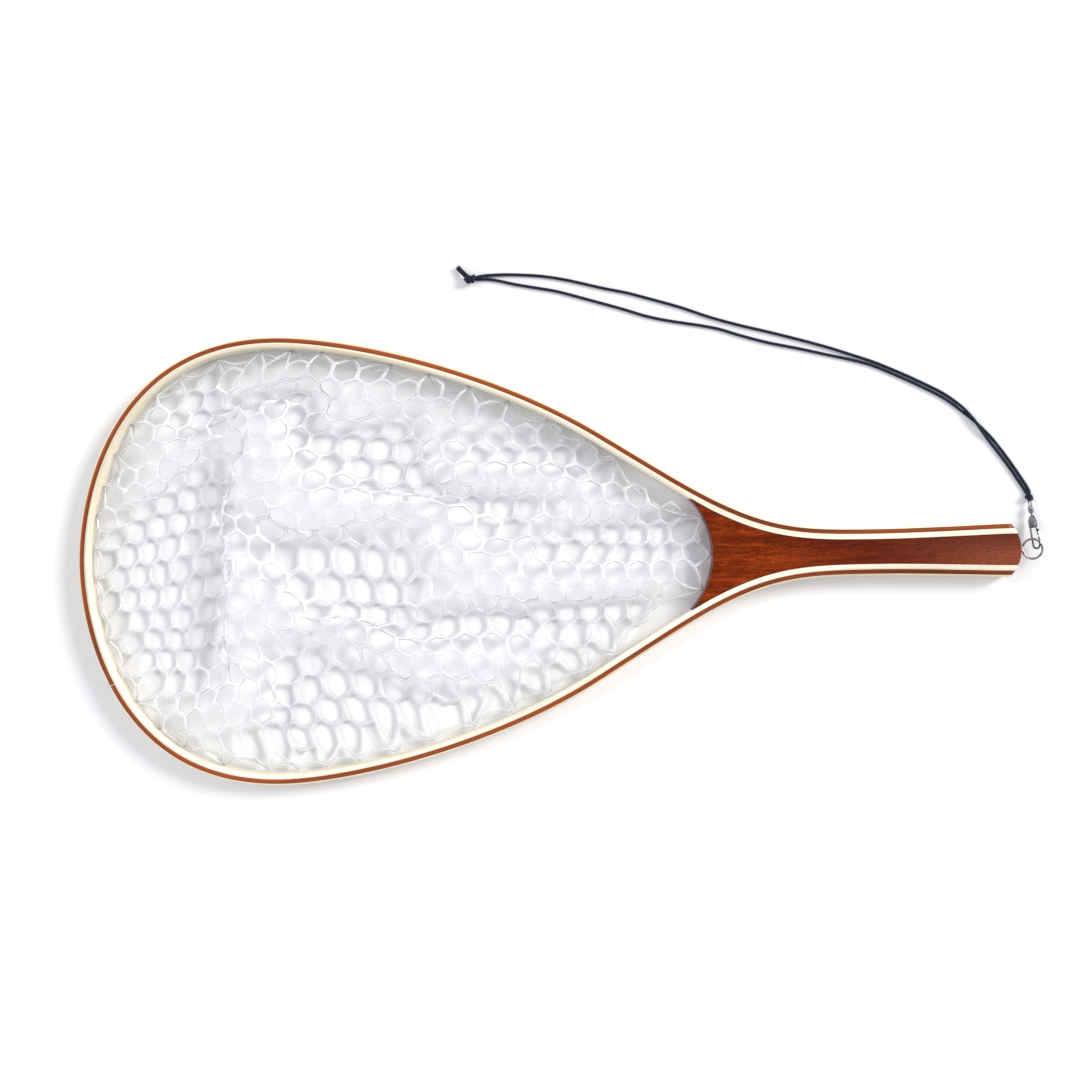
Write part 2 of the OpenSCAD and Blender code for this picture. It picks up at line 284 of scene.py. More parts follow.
class Shader:
    """A node material under construction, with short calls for the nodes used here."""

    def __init__(self, name):
        self.material = bpy.data.materials.new(name)
        self.material.use_nodes = True
        self.tree = self.material.node_tree
        self.bsdf = self.tree.nodes["Principled BSDF"]

    def node(self, kind, inputs=(), **settings):
        n = self.tree.nodes.new("ShaderNode" + kind)
        for key, value in settings.items():
            setattr(n, key, value)
        for key, value in dict(inputs).items():
            self.feed(n.inputs[key], value)
        return n

    def feed(self, socket, value):
        """Links another node's output to a socket, or sets its value."""
        if hasattr(value, "is_output"):
            self.tree.links.new(value, socket)
        else:
            socket.default_value = value

    def finished(self, **values):
        """The material, once these inputs are set to plain values."""
        for key, value in values.items():
            self.bsdf.inputs[key.replace("_", " ")].default_value = value
        return self.material

    def link(self, socket, key):
        self.tree.links.new(socket, self.bsdf.inputs[key])

    def place(self):
        return self.node("TexCoord").outputs["Object"]

    def stretched(self, source, scale):
        return self.node("Mapping", {"Vector": source, "Scale": scale}).outputs[0]

    def noise(self, vector, scale=1.0, detail=4.0, rough=0.55, warp=0.0):
        return self.node("TexNoise", {"Vector": vector, "Scale": scale, "Detail": detail,
                                      "Roughness": rough, "Distortion": warp}).outputs["Fac"]

    def ramp(self, value, stops):
        n = self.node("ValToRGB", {"Fac": value})
        ramp = n.color_ramp
        while len(ramp.elements) < len(stops):
            ramp.elements.new(0.5)
        for e, (pos, colour) in zip(ramp.elements, stops):
            e.position = pos
            e.color = (*colour, 1)
        return n.outputs["Color"]

    def mix(self, fac, a, b, mode="MIX"):
        n = self.node("Mix", data_type="RGBA", blend_type=mode)
        for key, value in ((0, fac), (6, a), (7, b)):
            self.feed(n.inputs[key], (*value, 1) if isinstance(value, tuple) else value)
        return n.outputs[2]

    def mask(self, value, start, end):
        """Black below start, white above end."""
        return self.ramp(value, ((start, (0, 0, 0)), (end, (1, 1, 1))))

    def span(self, value, low, high, start=0.0, end=1.0):
        """The value from start to end mapped to low to high."""
        return self.node("MapRange", {"Value": value, "From Min": start, "From Max": end,
                                      "To Min": low, "To Max": high}).outputs[0]

    def math(self, operation, a, b=0.0):
        return self.node("Math", {0: a, 1: b}, operation=operation).outputs[0]

    def plus(self, a, b):
        return self.math("ADD", a, b)

    def minus(self, a, b):
        return self.math("SUBTRACT", a, b)

    def times(self, a, b):
        return self.math("MULTIPLY", a, b)

    def bump(self, height, strength, distance):
        n = self.node("Bump", {"Height": height, "Strength": strength, "Distance": distance})
        self.link(n.outputs[0], "Normal")


def wood(name, deep, mid, light, pores, figure=0.5, gloss=0.25):
    """Varnished wood, its grain along the first number of the mesh's grain attribute."""
    m = Shader(name)
    grain = m.node("Attribute", attribute_name="grain").outputs["Vector"]
    broad = m.noise(m.stretched(grain, (5, 260, 120)), warp=0.6 * figure)
    fine = m.noise(m.stretched(grain, (28, 1900, 900)), detail=3)
    dashes = m.noise(m.stretched(grain, (160, 5200, 3600)), detail=2)
    tone = m.plus(m.times(broad, 0.72), m.times(fine, 0.28))
    colour = m.ramp(tone, ((0.36, deep), (0.5, mid), (0.62, light)))
    pore = m.times(m.mask(dashes, 0.60, 0.68), pores)
    colour = m.mix(pore, colour, tuple(c * 0.45 for c in deep))
    m.link(colour, "Base Color")
    m.link(m.span(fine, 0.30, 0.42), "Roughness")
    m.bump(m.minus(fine, pore), 0.12, 0.00015)
    return m.finished(Coat_Weight=gloss, Coat_Roughness=0.10, Specular_IOR_Level=0.05)


def core_wood():
    """The core: figured mahogany under a gloss varnish, warm at the throat, darkest along the
    neck, redder and paler towards the handle's end. Its grain attribute is (x, y, share of the
    half width)."""
    m = Shader("core wood")
    grain = m.node("Attribute", attribute_name="grain").outputs["Vector"]
    x, y, share = m.node("SeparateXYZ", {0: grain}).outputs
    level = m.node("CombineXYZ", {"X": x, "Y": y}).outputs[0]
    drift = m.noise(m.stretched(level, (9, 60, 1)), detail=2)
    bent = m.node("VectorMath", {0: level, 1: m.node(
        "CombineXYZ", {"Y": m.span(drift, -0.006, 0.006)}).outputs[0]}, operation="ADD").outputs[0]
    broad = m.noise(m.stretched(bent, (9, 150, 1)), detail=3)
    flecks = m.noise(m.stretched(bent, (90, 750, 1)), detail=6, rough=0.72)
    pore = m.noise(m.stretched(level, (150, 3800, 1)), detail=2)
    ripple = m.noise(m.stretched(bent, (120, 60, 1)), detail=2)
    tone = m.plus(m.times(broad, 0.45), m.times(flecks, 0.55))
    colour = m.ramp(tone, ((0.38, (0.040, 0.004, 0.0008)), (0.49, (0.135, 0.014, 0.0020)),
                           (0.62, (0.30, 0.046, 0.006))))
    colour = m.mix(m.span(ripple, 0.0, 0.28), colour, (0.36, 0.060, 0.008))
    colour = m.mix(m.span(x, 0, 0.6, 0.205, 0.290), colour, (0.27, 0.085, 0.050))
    neck = m.minus(m.span(x, 0, 0.5, 0.135, 0.195), m.span(x, 0, 0.45, 0.215, 0.290))
    upper = m.times(m.span(y, 0, 0.62, -0.004, 0.009), m.span(x, 0, 1, 0.135, 0.190))
    colour = m.mix(m.math("MAXIMUM", neck, upper), colour, (0.065, 0.010, 0.007))
    mottle = m.ramp(m.noise(m.stretched(bent, (420, 1700, 1)), detail=3),
                    ((0.40, (0.72, 0.70, 0.68)), (0.62, (1.22, 1.25, 1.28))))
    colour = m.mix(0.75, colour, mottle, "MULTIPLY")
    dashes = m.times(m.mask(pore, 0.58, 0.66), 0.6)
    colour = m.mix(dashes, colour, (0.03, 0.005, 0.002))
    # A dark band along the core's edges: the glue line, darkened further as painted shade of the
    # seam where the core meets the ash
    glue_line_and_seam_shade = m.span(m.math("ABSOLUTE", share), 0, 0.75, 0.970, 0.985)
    m.link(m.mix(glue_line_and_seam_shade, colour, (0.018, 0.005, 0.003)), "Base Color")
    m.link(m.span(flecks, 0.20, 0.32), "Roughness")
    m.bump(m.minus(flecks, dashes), 0.10, 0.0002)
    return m.finished(Coat_Weight=0.14, Coat_Roughness=0.08, Specular_IOR_Level=0.03)


def clear_rubber():
    """The bag's clear moulded rubber: milky where it is thick, with a soft satin skin."""
    m = Shader("clear rubber")
    where = m.place()
    cloud = m.noise(where, scale=60, detail=3)
    skin = m.noise(where, scale=900, detail=2)
    m.link(m.mix(cloud, (0.95, 0.96, 0.98), (1.0, 1.0, 1.0)), "Base Color")
    m.link(m.span(skin, 0.10, 0.20), "Roughness")
    m.bump(skin, 0.08, 0.0001)
    return m.finished(IOR=1.46, Transmission_Weight=0.68, Specular_IOR_Level=0.9, Coat_Weight=0.4)


def thread():
    """The ties: clear nylon, nearly white where it is knotted."""
    m = Shader("tie thread")
    where = m.place()
    skin = m.noise(where, scale=1400, detail=2)
    m.link(m.mix(skin, (0.90, 0.91, 0.93), (1, 1, 1)), "Base Color")
    m.link(m.span(skin, 0.12, 0.25), "Roughness")
    return m.finished(IOR=1.5, Transmission_Weight=0.35)


def plated(name, colour, rough=0.2, drawn=(30, 900, 900)):
    """Nickel plate with fine drawing lines, a little cloudiness and darker tarnish in patches."""
    m = Shader(name)
    where = m.place()
    lines = m.noise(m.stretched(where, drawn), detail=3)
    patch = m.noise(where, scale=320, detail=3)
    dark = tuple(c * 0.55 for c in colour)
    m.link(m.mix(m.mask(patch, 0.45, 0.75), colour, dark), "Base Color")
    m.link(m.span(lines, rough * 0.7, rough * 1.7), "Roughness")
    m.bump(lines, 0.15, 0.00005)
    return m.finished(Metallic=1.0)


def braid():
    """The cord's woven sleeve: two families of yarns that cross as they wind round it."""
    m = Shader("braided sleeve")
    uv = m.node("UVMap", uv_map="along").outputs[0]
    parts = m.node("SeparateXYZ", {0: uv})
    lay, yarns = 0.0032, 4
    run = m.times(parts.outputs[0], 2 * math.pi / lay)
    turn = m.times(parts.outputs[1], 2 * math.pi * yarns)
    one = m.math("SINE", m.plus(turn, run))
    two = m.math("SINE", m.minus(turn, run))
    yarn = m.math("MAXIMUM", one, two)
    height = m.span(m.times(m.plus(yarn, 1.0), 0.5), 0.0, 1.0)
    fuzz = m.noise(m.stretched(uv, (9000, 60, 1)), detail=3)
    # painted shade: the colour follows the yarns' height, darker in the grooves between them and
    # lighter on their crowns
    colour = m.mix(height, (0.0015, 0.002, 0.007), (0.008, 0.012, 0.036))
    m.link(m.mix(m.times(fuzz, 0.35), colour, (0.014, 0.018, 0.045)), "Base Color")
    m.link(m.span(fuzz, 0.55, 0.80), "Roughness")
    m.bump(m.plus(height, m.times(fuzz, 0.3)), 0.6, 0.00012)
    return m.finished(Sheen_Weight=0.05, Sheen_Roughness=0.5, Specular_IOR_Level=0.2)


def cut_core():
    """The cut face of the cord: white rubber strands inside the dark sleeve, with painted shade
    between them.
    """
    m = Shader("cut core")
    where = m.place()
    cells = m.node("TexVoronoi", {"Vector": where, "Scale": 3200.0})
    # painted shade: each strand end is pale in its middle and greyer towards its rim, where it
    # meets its neighbours
    m.link(m.ramp(cells.outputs["Distance"], ((0.1, (0.88, 0.88, 0.86)), (0.6, (0.5, 0.5, 0.5)))),
           "Base Color")
    return m.finished(Roughness=0.6)


def floor_material():
    """A plain pale surface, a shade warmer and cooler in places."""
    m = Shader("floor")
    where = m.place()
    cloud = m.noise(where, scale=4)
    m.link(m.mix(cloud, (0.84, 0.845, 0.855), (0.865, 0.867, 0.875)), "Base Color")
    return m.finished(Roughness=0.9, Specular_IOR_Level=0.1)


def dress(ob, *materials):
    """Gives an object, CAD node or new piece, these materials in its slots."""
    ob.data.materials.clear()
    for m in materials:
        ob.data.materials.append(m)


def fit(ob, material, slot, node, body):
    """Dresses a piece and puts it in the place of a CAD node, on the body that carries it."""
    dress(ob, material)
    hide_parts(node)
    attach(ob, body)
    return ob


ASH_WOOD = wood("ash", (0.66, 0.57, 0.41), (0.80, 0.73, 0.58), (0.90, 0.85, 0.72), 0.10)
VENEER_WOOD = wood("veneer", (0.66, 0.53, 0.36), (0.80, 0.69, 0.50), (0.88, 0.80, 0.62), 0.10)
MAHOGANY_WOOD = wood("mahogany", (0.115, 0.024, 0.009), (0.215, 0.052, 0.019),
                     (0.33, 0.080, 0.022), 0.35, figure=1.0, gloss=0.15)
CORE_WOOD = core_wood()
RUBBER = clear_rubber()
THREAD = thread()
NICKEL = plated("nickel wire", (0.34, 0.31, 0.29), 0.20)
DARK_NICKEL = plated("dark nickel wire", (0.10, 0.10, 0.12), 0.20)
SHEET_METAL = plated("sheet metal", (0.23, 0.235, 0.27), 0.22, (900, 60, 900))
BRAID = braid()
CUT_CORE = cut_core()

# ---- camera, lights and floor


def stage_set():
    """The camera straight above, where the photographer's was, with its slight turn."""
    scene = bpy.context.scene
    cam = bpy.data.cameras.new("camera")
    view_w = 0.716       # what the picture shows at the wood's top, from side to side
    distance = 1.05
    over = (-0.01465, 0.0112)
    turn = math.radians(0.92)
    cam.sensor_width = 36
    cam.lens = cam.sensor_width * distance / view_w
    cam.dof.use_dof = False
    ob = bpy.data.objects.new("camera", cam)
    ob.location = (*over, WOOD_T + distance)
    ob.rotation_euler = (0, 0, -turn)
    scene.collection.objects.link(ob)
    scene.camera = ob

    sky = bpy.data.worlds.new("world")
    scene.world = sky
    sky.use_nodes = True
    tree = sky.node_tree
    place = tree.nodes.new("ShaderNodeTexCoord")
    parts = tree.nodes.new("ShaderNodeSeparateXYZ")
    ramp = tree.nodes.new("ShaderNodeValToRGB")
    ramp.color_ramp.elements.new(0.5)
    for e, (pos, level) in zip(ramp.color_ramp.elements, ((0, 1.15), (0.55, 0.95), (0.97, 0.32))):
        e.position = pos
        e.color = (level * 0.965, level * 0.97, level * 1.02, 1)
    tree.links.new(place.outputs["Generated"], parts.inputs[0])
    tree.links.new(parts.outputs["Z"], ramp.inputs[0])
    tree.links.new(ramp.outputs[0], tree.nodes["Background"].inputs[0])
    tree.nodes["Background"].inputs[1].default_value = 1.06
    scene.view_settings.view_transform = "Standard"
    scene.view_settings.look = "None"

    def sun(name, way, spread, strength, colour):
        """A soft light from far away, which lights all of the floor alike."""
        light = bpy.data.lights.new(name, "SUN")
        light.energy = strength
        light.angle = spread
        light.color = colour
        lamp = bpy.data.objects.new(name, light)
        lamp.location = way
        lamp.rotation_euler = (-Vector(way)).to_track_quat("-Z", "Y").to_euler()
        scene.collection.objects.link(lamp)

    sun("key", (2.4, 1.3, 1.8), 0.39, 2.4, (1, 0.98, 0.94))
    sun("fill", (-1.3, 0.5, 1.2), 0.49, 0.75, (0.93, 0.94, 1))

    floor = new_object("floor", [(-4, -4, 0), (4, -4, 0), (4, 4, 0), (-4, 4, 0)], [(0, 1, 2, 3)])
    dress(floor, floor_material())


stage_set()

# ---- the lanyard

# The same points as the CAD tubes, in metres: x, y and, where the cord is lifted, its height
ROUTE_A = [
    (-0.0568, 0.1874, 0.0022), (-0.0520, 0.1887, 0.0012), (-0.0475, 0.1894, 0.0003),
    (-0.0376, 0.1898), (-0.0259, 0.1895), (-0.0102, 0.1883), (0.0070, 0.1853), (0.0303, 0.1797),
    (0.0466, 0.1762), (0.0638, 0.1714), (0.0820, 0.1660), (0.1023, 0.1589), (0.1215, 0.1534),
    (0.1418, 0.1483), (0.1621, 0.1429), (0.1818, 0.1372), (0.1955, 0.1326), (0.2112, 0.1272),
    (0.2295, 0.1194), (0.2426, 0.1132), (0.2568, 0.1059), (0.2664, 0.0992),
    (0.2721, 0.0937, 0.0015), (0.2779, 0.0868, 0.0022), (0.2830, 0.0795, 0.0015), (0.2890, 0.0716),
    (0.2989, 0.0584), (0.3055, 0.0486), (0.3120, 0.0384),
]
ROUTE_B = [
    (-0.0568, 0.1868, 0.0002), (-0.0520, 0.1869), (-0.0477, 0.1869), (-0.0406, 0.1859),
    (-0.0294, 0.1833), (-0.0153, 0.1807), (0.0004, 0.1777), (0.0232, 0.1713), (0.0440, 0.1652),
    (0.0577, 0.1608), (0.0699, 0.1579), (0.0840, 0.1554), (0.0962, 0.1534), (0.1084, 0.1508),
    (0.1215, 0.1466), (0.1408, 0.1413), (0.1621, 0.1368), (0.1788, 0.1329), (0.1955, 0.1291),
    (0.2102, 0.1249), (0.2284, 0.1171), (0.2415, 0.1109), (0.2553, 0.1038), (0.2646, 0.0975),
    (0.2709, 0.0925), (0.2779, 0.0868), (0.2843, 0.0807), (0.2911, 0.0732), (0.3009, 0.0600),
    (0.3075, 0.0502), (0.3139, 0.0397),
]
TAILS = (((-0.06095, 0.1878, 0.0030), (-0.06805, 0.1951, 0.0011)),
         ((-0.06005, 0.1886, 0.0046), (-0.06715, 0.1959, 0.0027)))
HANG_AT = math.radians(20)     # where the snap hangs on the eye
SNAP_O = Vector((X_EYE + EYE_R * math.sin(HANG_AT), EYE_R * math.cos(HANG_AT), MID_Z))
SNAP_TURN = (Matrix.Rotation(math.radians(-9.1), 3, "X")
             @ Matrix.Rotation(math.radians(5.4), 3, "Z")
             @ Matrix.Rotation(math.radians(-62), 3, "Y"))


def on_snap(x, y, z=0.0):
    """A point of the snap's own frame, in mm, which runs along +Y from the eye's wire."""
    return SNAP_O + SNAP_TURN @ Vector((x, y, z)) * MM


def on_table(route):
    """The middle of a cord that follows the route, just clear of the table."""
    return [Vector((x, y, sum(z) + CORD_D / 2 + 0.05 * MM)) for x, y, *z in route]


def wound_knot(name, middle, axis, radius, turns, pitch, cord_r, tilt=0.35,
               steps=40):
    """A tied knot: turns of cord wound round an axis, each leaning, over a core that they hide."""
    axis = Vector(axis).normalized()
    side = axis.orthogonal().normalized()
    up = axis.cross(side)
    path = []
    for i in range(int(turns * steps) + 1):
        a = 2 * math.pi * i / steps
        t = i / steps - turns / 2
        swell = radius * (1 - 0.10 * (2 * t / turns) ** 2)
        lean = math.sin(a * 0.5 + 0.6) * tilt * cord_r
        path.append(Vector(middle) + axis * (t * pitch + lean)
                    + (side * math.cos(a) + up * math.sin(a)) * swell)
    reach = axis * pitch * (turns / 2 + 0.5)
    first, last = Vector(middle) - reach, Vector(middle) + reach
    path = [first] + path[3:-3] + [last]
    return tube(name, smooth_path(path, 0.0004), cord_r, 14)


def lanyard():
    """The two strands, with the line that each follows, and the pieces on them."""
    strands = []
    knot = on_snap(0, 28.7)
    for key, route, aside in (("a", ROUTE_A, -0.0005), ("b", ROUTE_B, 0.0004)):
        points = on_table(route) + [knot + Vector((aside, 0.0006, 0))]
        path = smooth_path(points, 0.0012)
        for p in path:
            p.z = max(p.z, CORD_D / 2 + 0.03 * MM)
        strand = tube("cord_strand_" + key, path, CORD_D / 2, 16)
        dress(strand, BRAID)
        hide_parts("strand_" + key)
        tuple(path[-75])
        tuple(path[-4])
        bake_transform(strand)
        strands.append((strand, path))
    return strands, [end_knot_piece(), *tail_pieces(), clip_knot_piece(knot)]


def declare_cords(strands, pieces):
    """Both strands run from the snap to the far knot; this only reads each strand's path, from the
    snap's end back.
    """
    for strand, path in strands:
        tuple(path[-1])
        [tuple(p) for p in reversed(path)]


def end_knot_piece():
    """An overhand knot in the doubled cord: two turns side by side, round the two strands."""
    r = CORD_D / 2
    middle = Vector((-0.0589, 0.1869, 0.0038))
    along = Vector((1, 0.05, -0.10)).normalized()
    parts = [
        wound_knot("turns_a", middle - along * 1.2 * MM, along + Vector((0, 0.12, 0.10)),
                   2.35 * MM, 1.6, 1.55 * MM, r, 0.1),
        wound_knot("turns_b", middle + along * 2.2 * MM, along + Vector((0, -0.20, 0.10)),
                   2.15 * MM, 1.1, 0.6 * MM, r, 0.15),
    ]
    heart = [middle + along * d * MM for d in (-3.4, -2.9, -1.4, 0.4, 2.2, 3.3)]
    parts.append(tube("heart", heart, [1.3 * MM, 2.1 * MM, 2.6 * MM, 2.4 * MM, 2.2 * MM, 1.2 * MM],
                      20))
    return fit(join("end_knot_cord", parts), BRAID, "cord", "end_knot", "net")


def tail_pieces():
    """The two cut ends past the knot, each with its pale core showing."""
    out = []
    for i, (a, b) in enumerate(TAILS):
        a, b = Vector(a), Vector(b)
        bow = Vector((0.0002, -0.0004, 0.0003))
        tip = b.lerp(a, 0.05) + Vector((0, 0, 0.0013))
        path = smooth_path([a, a.lerp(b, 0.35) + bow, a.lerp(b, 0.80), tip], 0.0005)
        sleeve = tube("tail_%d" % i, path, CORD_D / 2, 16)
        way = (path[-1] - path[-2]).normalized()
        core = [(-0.20, 0.80), (0.10, 0.80), (0.20, 0.68), (0.24, 0.40)]
        face = tube("core_%d" % i, [path[-1] + way * d * MM for d, _ in core],
                    [r * MM for _, r in core], 16)
        out += [fit(sleeve, BRAID, "cord", "cord_tails", "net"),
                fit(face, CUT_CORE, None, "cord_tails", "net")]
    return out


def clip_knot_piece(knot):
    """The knot that holds the cord in the swivel's loop: a larks-head pulled tight."""
    r = CORD_D / 2 * 0.95
    along = SNAP_TURN @ Vector((0, 1, 0))
    across = SNAP_TURN @ Vector((1, 0, 0))
    parts = [
        wound_knot("bight", knot - along * 0.0004, along + across * 0.35, 0.0019, 1.25, 0.0015, r),
        wound_knot("hitch", knot + along * 0.0006, along - across * 0.30, 0.0017, 1.0, 0.0012, r),
    ]
    return fit(join("clip_knot_cord", parts), BRAID, "cord", "clip_knot", "swivel")


STRANDS, ON_CORD = lanyard()

# ---- the laminated wood

OUTER_ROUND = 2.3 * MM     # how far the outer edges are rounded over
INNER_ROUND = 1.9 * MM     # and the hoop's inner edges
END_ROUND = 1.8 * MM       # and the handle's end


def rounded(depth, radius):
    """How far below the flat top a rounded edge is, at this depth in from the edge."""
    if radius < 1e-7 or depth >= radius:
        return 0.0
    return radius - math.sqrt(max(0.0, radius * radius - (radius - depth) ** 2))


def drop_at(d, x):
    """How far the top of the laminated bar is below its full height, at depth d and place x."""
    flat_from, over = 0.098, 0.016     # the inner edges are only rounded along the hoop
    fade = min(1.0, max(0.0, (flat_from - x) / over))
    return rounded(d, OUTER_ROUND) + rounded(WALL - d, INNER_ROUND * fade)


def end_x(y, z):
    """Where the handle's rounded end is, at this place across and height."""
    r = END_R - rounded(max(0.0, min(z, WOOD_T - z)), END_ROUND)
    return X_END - END_R + math.sqrt(max(0.0, r * r - y * y))


def to_end(x, y, z):
    """Draws the last stretch of the handle in, so that it stops on its rounded end."""
    start = X_END - 0.032
    if x <= start:
        return x
    return start + (x - start) * (end_x(y, z) - start) / (X_END + 0.001 - start)


def lamination(name, d1, d2, s1, s2, material, slot, node):
    """One bent strip, between two depths in from the wood's edge and two distances along it."""
    across = 6
    stations = [s for s in np.concatenate((-LENGTHS[::-1], LENGTHS[1:])) if s1 < s < s2]
    us = [s1] + stations + [s2]
    vs = [i / across for i in range(across + 1)]
    ws = [0, 0.12, 0.5, 0.88, 1]

    def place(u, v, w):
        ease = v * v if d1 < 1e-6 else (1 - (1 - v) ** 2 if d2 > WALL - 1e-6 else v)
        d = d1 + (d2 - d1) * ease
        x, y = at(u, d)
        low = drop_at(d, x)
        z = low + (WOOD_T - 2 * low) * w
        return (to_end(x, y, z), y, z)

    def grain(u, v, w):
        return (u, d1 + (d2 - d1) * v + 0.1 * (d1 > 0), w * WOOD_T)

    fit(box_grid(name, place, us, vs, ws, grain), material, slot, node, "net")


def core_piece():
    """The handle's core, from the hollow throat to the rounded end."""
    inner = np.array([at(s, WALL) for s in LENGTHS if s > 0.4])
    half = lambda x: float(np.interp(x, inner[:, 0], inner[:, 1]))

    def throat_x(v, z):
        r = THROAT_R + rounded(min(z, WOOD_T - z), 0.5 * MM)
        low, high = 0.060, 0.110
        for _ in range(30):
            x = (low + high) / 2
            inside = (x - X_THROAT) ** 2 + (v * half(x)) ** 2 < r * r
            low, high = (x, high) if inside else (low, x)
        return high

    def place(u, v, w):
        z = w * WOOD_T
        x1 = throat_x(v, z)
        x2 = end_x(v * half(X_END), z)
        x = x1 + (x2 - x1) * u
        crown = 0.00012 * (1 - v * v) * (1 if w == 1 else (-1 if w == 0 else 0))
        return (x, v * half(x), min(WOOD_T, max(0, z + crown)))

    us = [0, 0.002, 0.006, 0.012] + list(np.linspace(0.02, 0.98, 90)) + [0.99, 0.995, 1]
    vs = np.sin(np.linspace(-math.pi / 2, math.pi / 2, 33))
    ws = [0, 0.02, 0.06, 0.15, 0.5, 0.85, 0.94, 0.98, 1]
    ob = box_grid("core", place, us, vs, ws, lambda u, v, w: (*place(u, v, w)[:2], v))
    fit(ob, CORE_WOOD, "core_wood", "handle_core", "net")


def woodwork():
    joint = -LENGTHS[8 * DENSE]     # the butt joint of the outer strips, on the lower side
    gap = 0.4 * MM                  # from its middle to each strip's end
    for name, d1, d2, material, slot in (
        ("veneer", 0, VENEER, VENEER_WOOD, "outer_veneer"),
        ("mahogany", VENEER, VENEER + MAHOGANY, MAHOGANY_WOOD, "mahogany_strip"),
    ):
        lamination(name + "_long", d1, d2, joint + gap, LOOP_L, material, slot, name + "_upper")
        lamination(name + "_short", d1, d2, -LOOP_L, joint - gap, material, slot, name + "_lower")
    lamination("ash", WALL - ASH, WALL, -LOOP_L, LOOP_L, ASH_WOOD, "ash_strip", "ash_strip")
    core_piece()


woodwork()

# ---- the bag

CELL = 15.4 * MM           # width of a cell before the bag's fullness stretches it
STRAND = 2.1 * MM          # thickness of a strand
FULLNESS = 1.15            # angle of the dome that the bag is moulded to, in radians
RISE = 75 * MM             # height of that dome
CENTRE = np.array((-0.130, 0.0))
LOW = 8 * MM               # what lies lower than this stays as it fell
HEAP = 14 * MM             # the most that the heap stands above that
FRAMES = 90                # of the fall, until the heap lies still
SIDE = 4                   # steps along each side of a cell
HALF_WIDTH = (1.75 * MM, 1.30 * MM, 1.15 * MM, 1.30 * MM)    # of a strand, from a corner on
SQUARE = 0.6               # 1 for a round strand, less for a squarer one
CREASE = 12 * MM           # how much fuller the bag is along its creases
CREASES = (((-0.190, 0.075), (-0.190, -0.100)), ((-0.180, 0.073), (-0.143, 0.012)),
           ((-0.143, 0.012), (-0.087, 0.027)), ((-0.172, -0.041), (-0.073, -0.079)))


def mouth_outline():
    """The hoop's inner edge and the throat, as points about 4 mm apart."""
    upper = []
    past_flank = 0.074
    for s in np.arange(0, LOOP_L, 0.004):
        p = at(s, WALL)
        if p[0] > past_flank and np.hypot(p[0] - X_THROAT, p[1]) < THROAT_R:
            break
        upper.append(p)
    stop = math.atan2(upper[-1][1], upper[-1][0] - X_THROAT)
    arc = [np.array((X_THROAT + THROAT_R * math.cos(a), THROAT_R * math.sin(a)))
           for a in np.linspace(stop * 0.95, 0, 10)]
    top = upper + arc
    return np.array(top + [p * (1, -1) for p in reversed(top[1:-1])])


def tie_places():
    """Each tie's hole, on the hoop's inner face and in the throat, and the way into the hoop."""
    out = []
    for i in range(1, 39, 2):     # between every other pair of the CAD's stations
        a, b = (at(LENGTHS[k * DENSE], WALL) for k in (i, i + 1))
        p, run = (a + b) / 2, (b - a) / np.linalg.norm(b - a)
        inward = np.array((run[1], -run[0]))
        out += [(p, inward), (p * (1, -1), inward * (1, -1))]
    for a in (-28, 0, 28):
        way = np.array((math.cos(math.radians(a)), math.sin(math.radians(a))))
        out.append((np.array((X_THROAT, 0)) + way * THROAT_R, -way))
    return out


def inside(p, poly):
    """Whether a point is inside a polygon."""
    x, y = poly[:, 0], poly[:, 1]
    x2, y2 = np.roll(x, -1), np.roll(y, -1)
    cross = (y > p[1]) != (y2 > p[1])
    with np.errstate(divide="ignore", invalid="ignore"):
        hits = cross & (p[0] < (x2 - x) * (p[1] - y) / (y2 - y) + x)
    return hits.sum() % 2 == 1


def drawn_in(outline, by):
    """The outline with each point drawn in towards the bag's centre by this much."""
    reach = np.linalg.norm(outline - CENTRE, axis=1)
    return CENTRE + (outline - CENTRE) * (1 - by / reach)[:, None]


def bag_sheet(outline):
    """A triangulated sheet over the mouth, and the dome that the bag is moulded to."""
    step = 7 * MM
    reach = np.linalg.norm(outline - CENTRE, axis=1)
    angle = np.arctan2(outline[:, 1], outline[:, 0] - CENTRE[0])
    order = np.argsort(angle)
    flat = [Vector(p) for p in outline]
    edges = [(i, (i + 1) % len(outline)) for i in range(len(outline))]
    shrunk = drawn_in(outline, 4.5 * MM)
    rows = int(0.16 / (step * 0.866)) + 1
    for j in range(-rows, rows + 1):
        for i in range(-60, 60):
            p = CENTRE + (step * (i + (j % 2) / 2), step * 0.866 * j)
            if inside(p, shrunk):
                flat.append(Vector(p))
    verts, _, faces, *_ = delaunay_2d_cdt(flat, edges, [], 1, 1e-6)
    verts = np.array([tuple(v) for v in verts])
    dome = []
    for p in verts:
        v = p - CENTRE
        a = math.atan2(v[1], v[0])
        r = float(np.interp(a, angle[order], reach[order], period=2 * math.pi))
        rho = min(1.0, np.linalg.norm(v) / r)
        swell = math.sin(rho * FULLNESS) / max(rho, 1e-6) / math.sin(FULLNESS)
        rise = RISE * (math.cos(rho * FULLNESS) - math.cos(FULLNESS)) / (1 - math.cos(FULLNESS))
        bumpy = noise.noise(Vector((p[0] * 22, p[1] * 22, 0.7)))
        lean = noise.noise(Vector((p[0] * 9, p[1] * 9, 4.1)))
        slack = (1 - rho) * 2
        q = CENTRE + v * swell + np.array((0.012 * lean, 0.010 * bumpy)) * min(1, slack)
        q = q + np.array((-0.015, 0.015)) * rise / RISE
        for a, b in CREASES:
            a, ab = np.array(a), np.array(b) - np.array(a)
            k = min(1.0, max(0.0, float((p - a) @ ab / (ab @ ab))))
            rise += CREASE * math.exp(-(np.linalg.norm(p - a - ab * k) / 0.014) ** 2)
        dome.append((q[0], q[1], MID_Z + rise + 0.010 * bumpy * min(1, slack)))
    return verts, [tuple(f) for f in faces], np.array(dome)


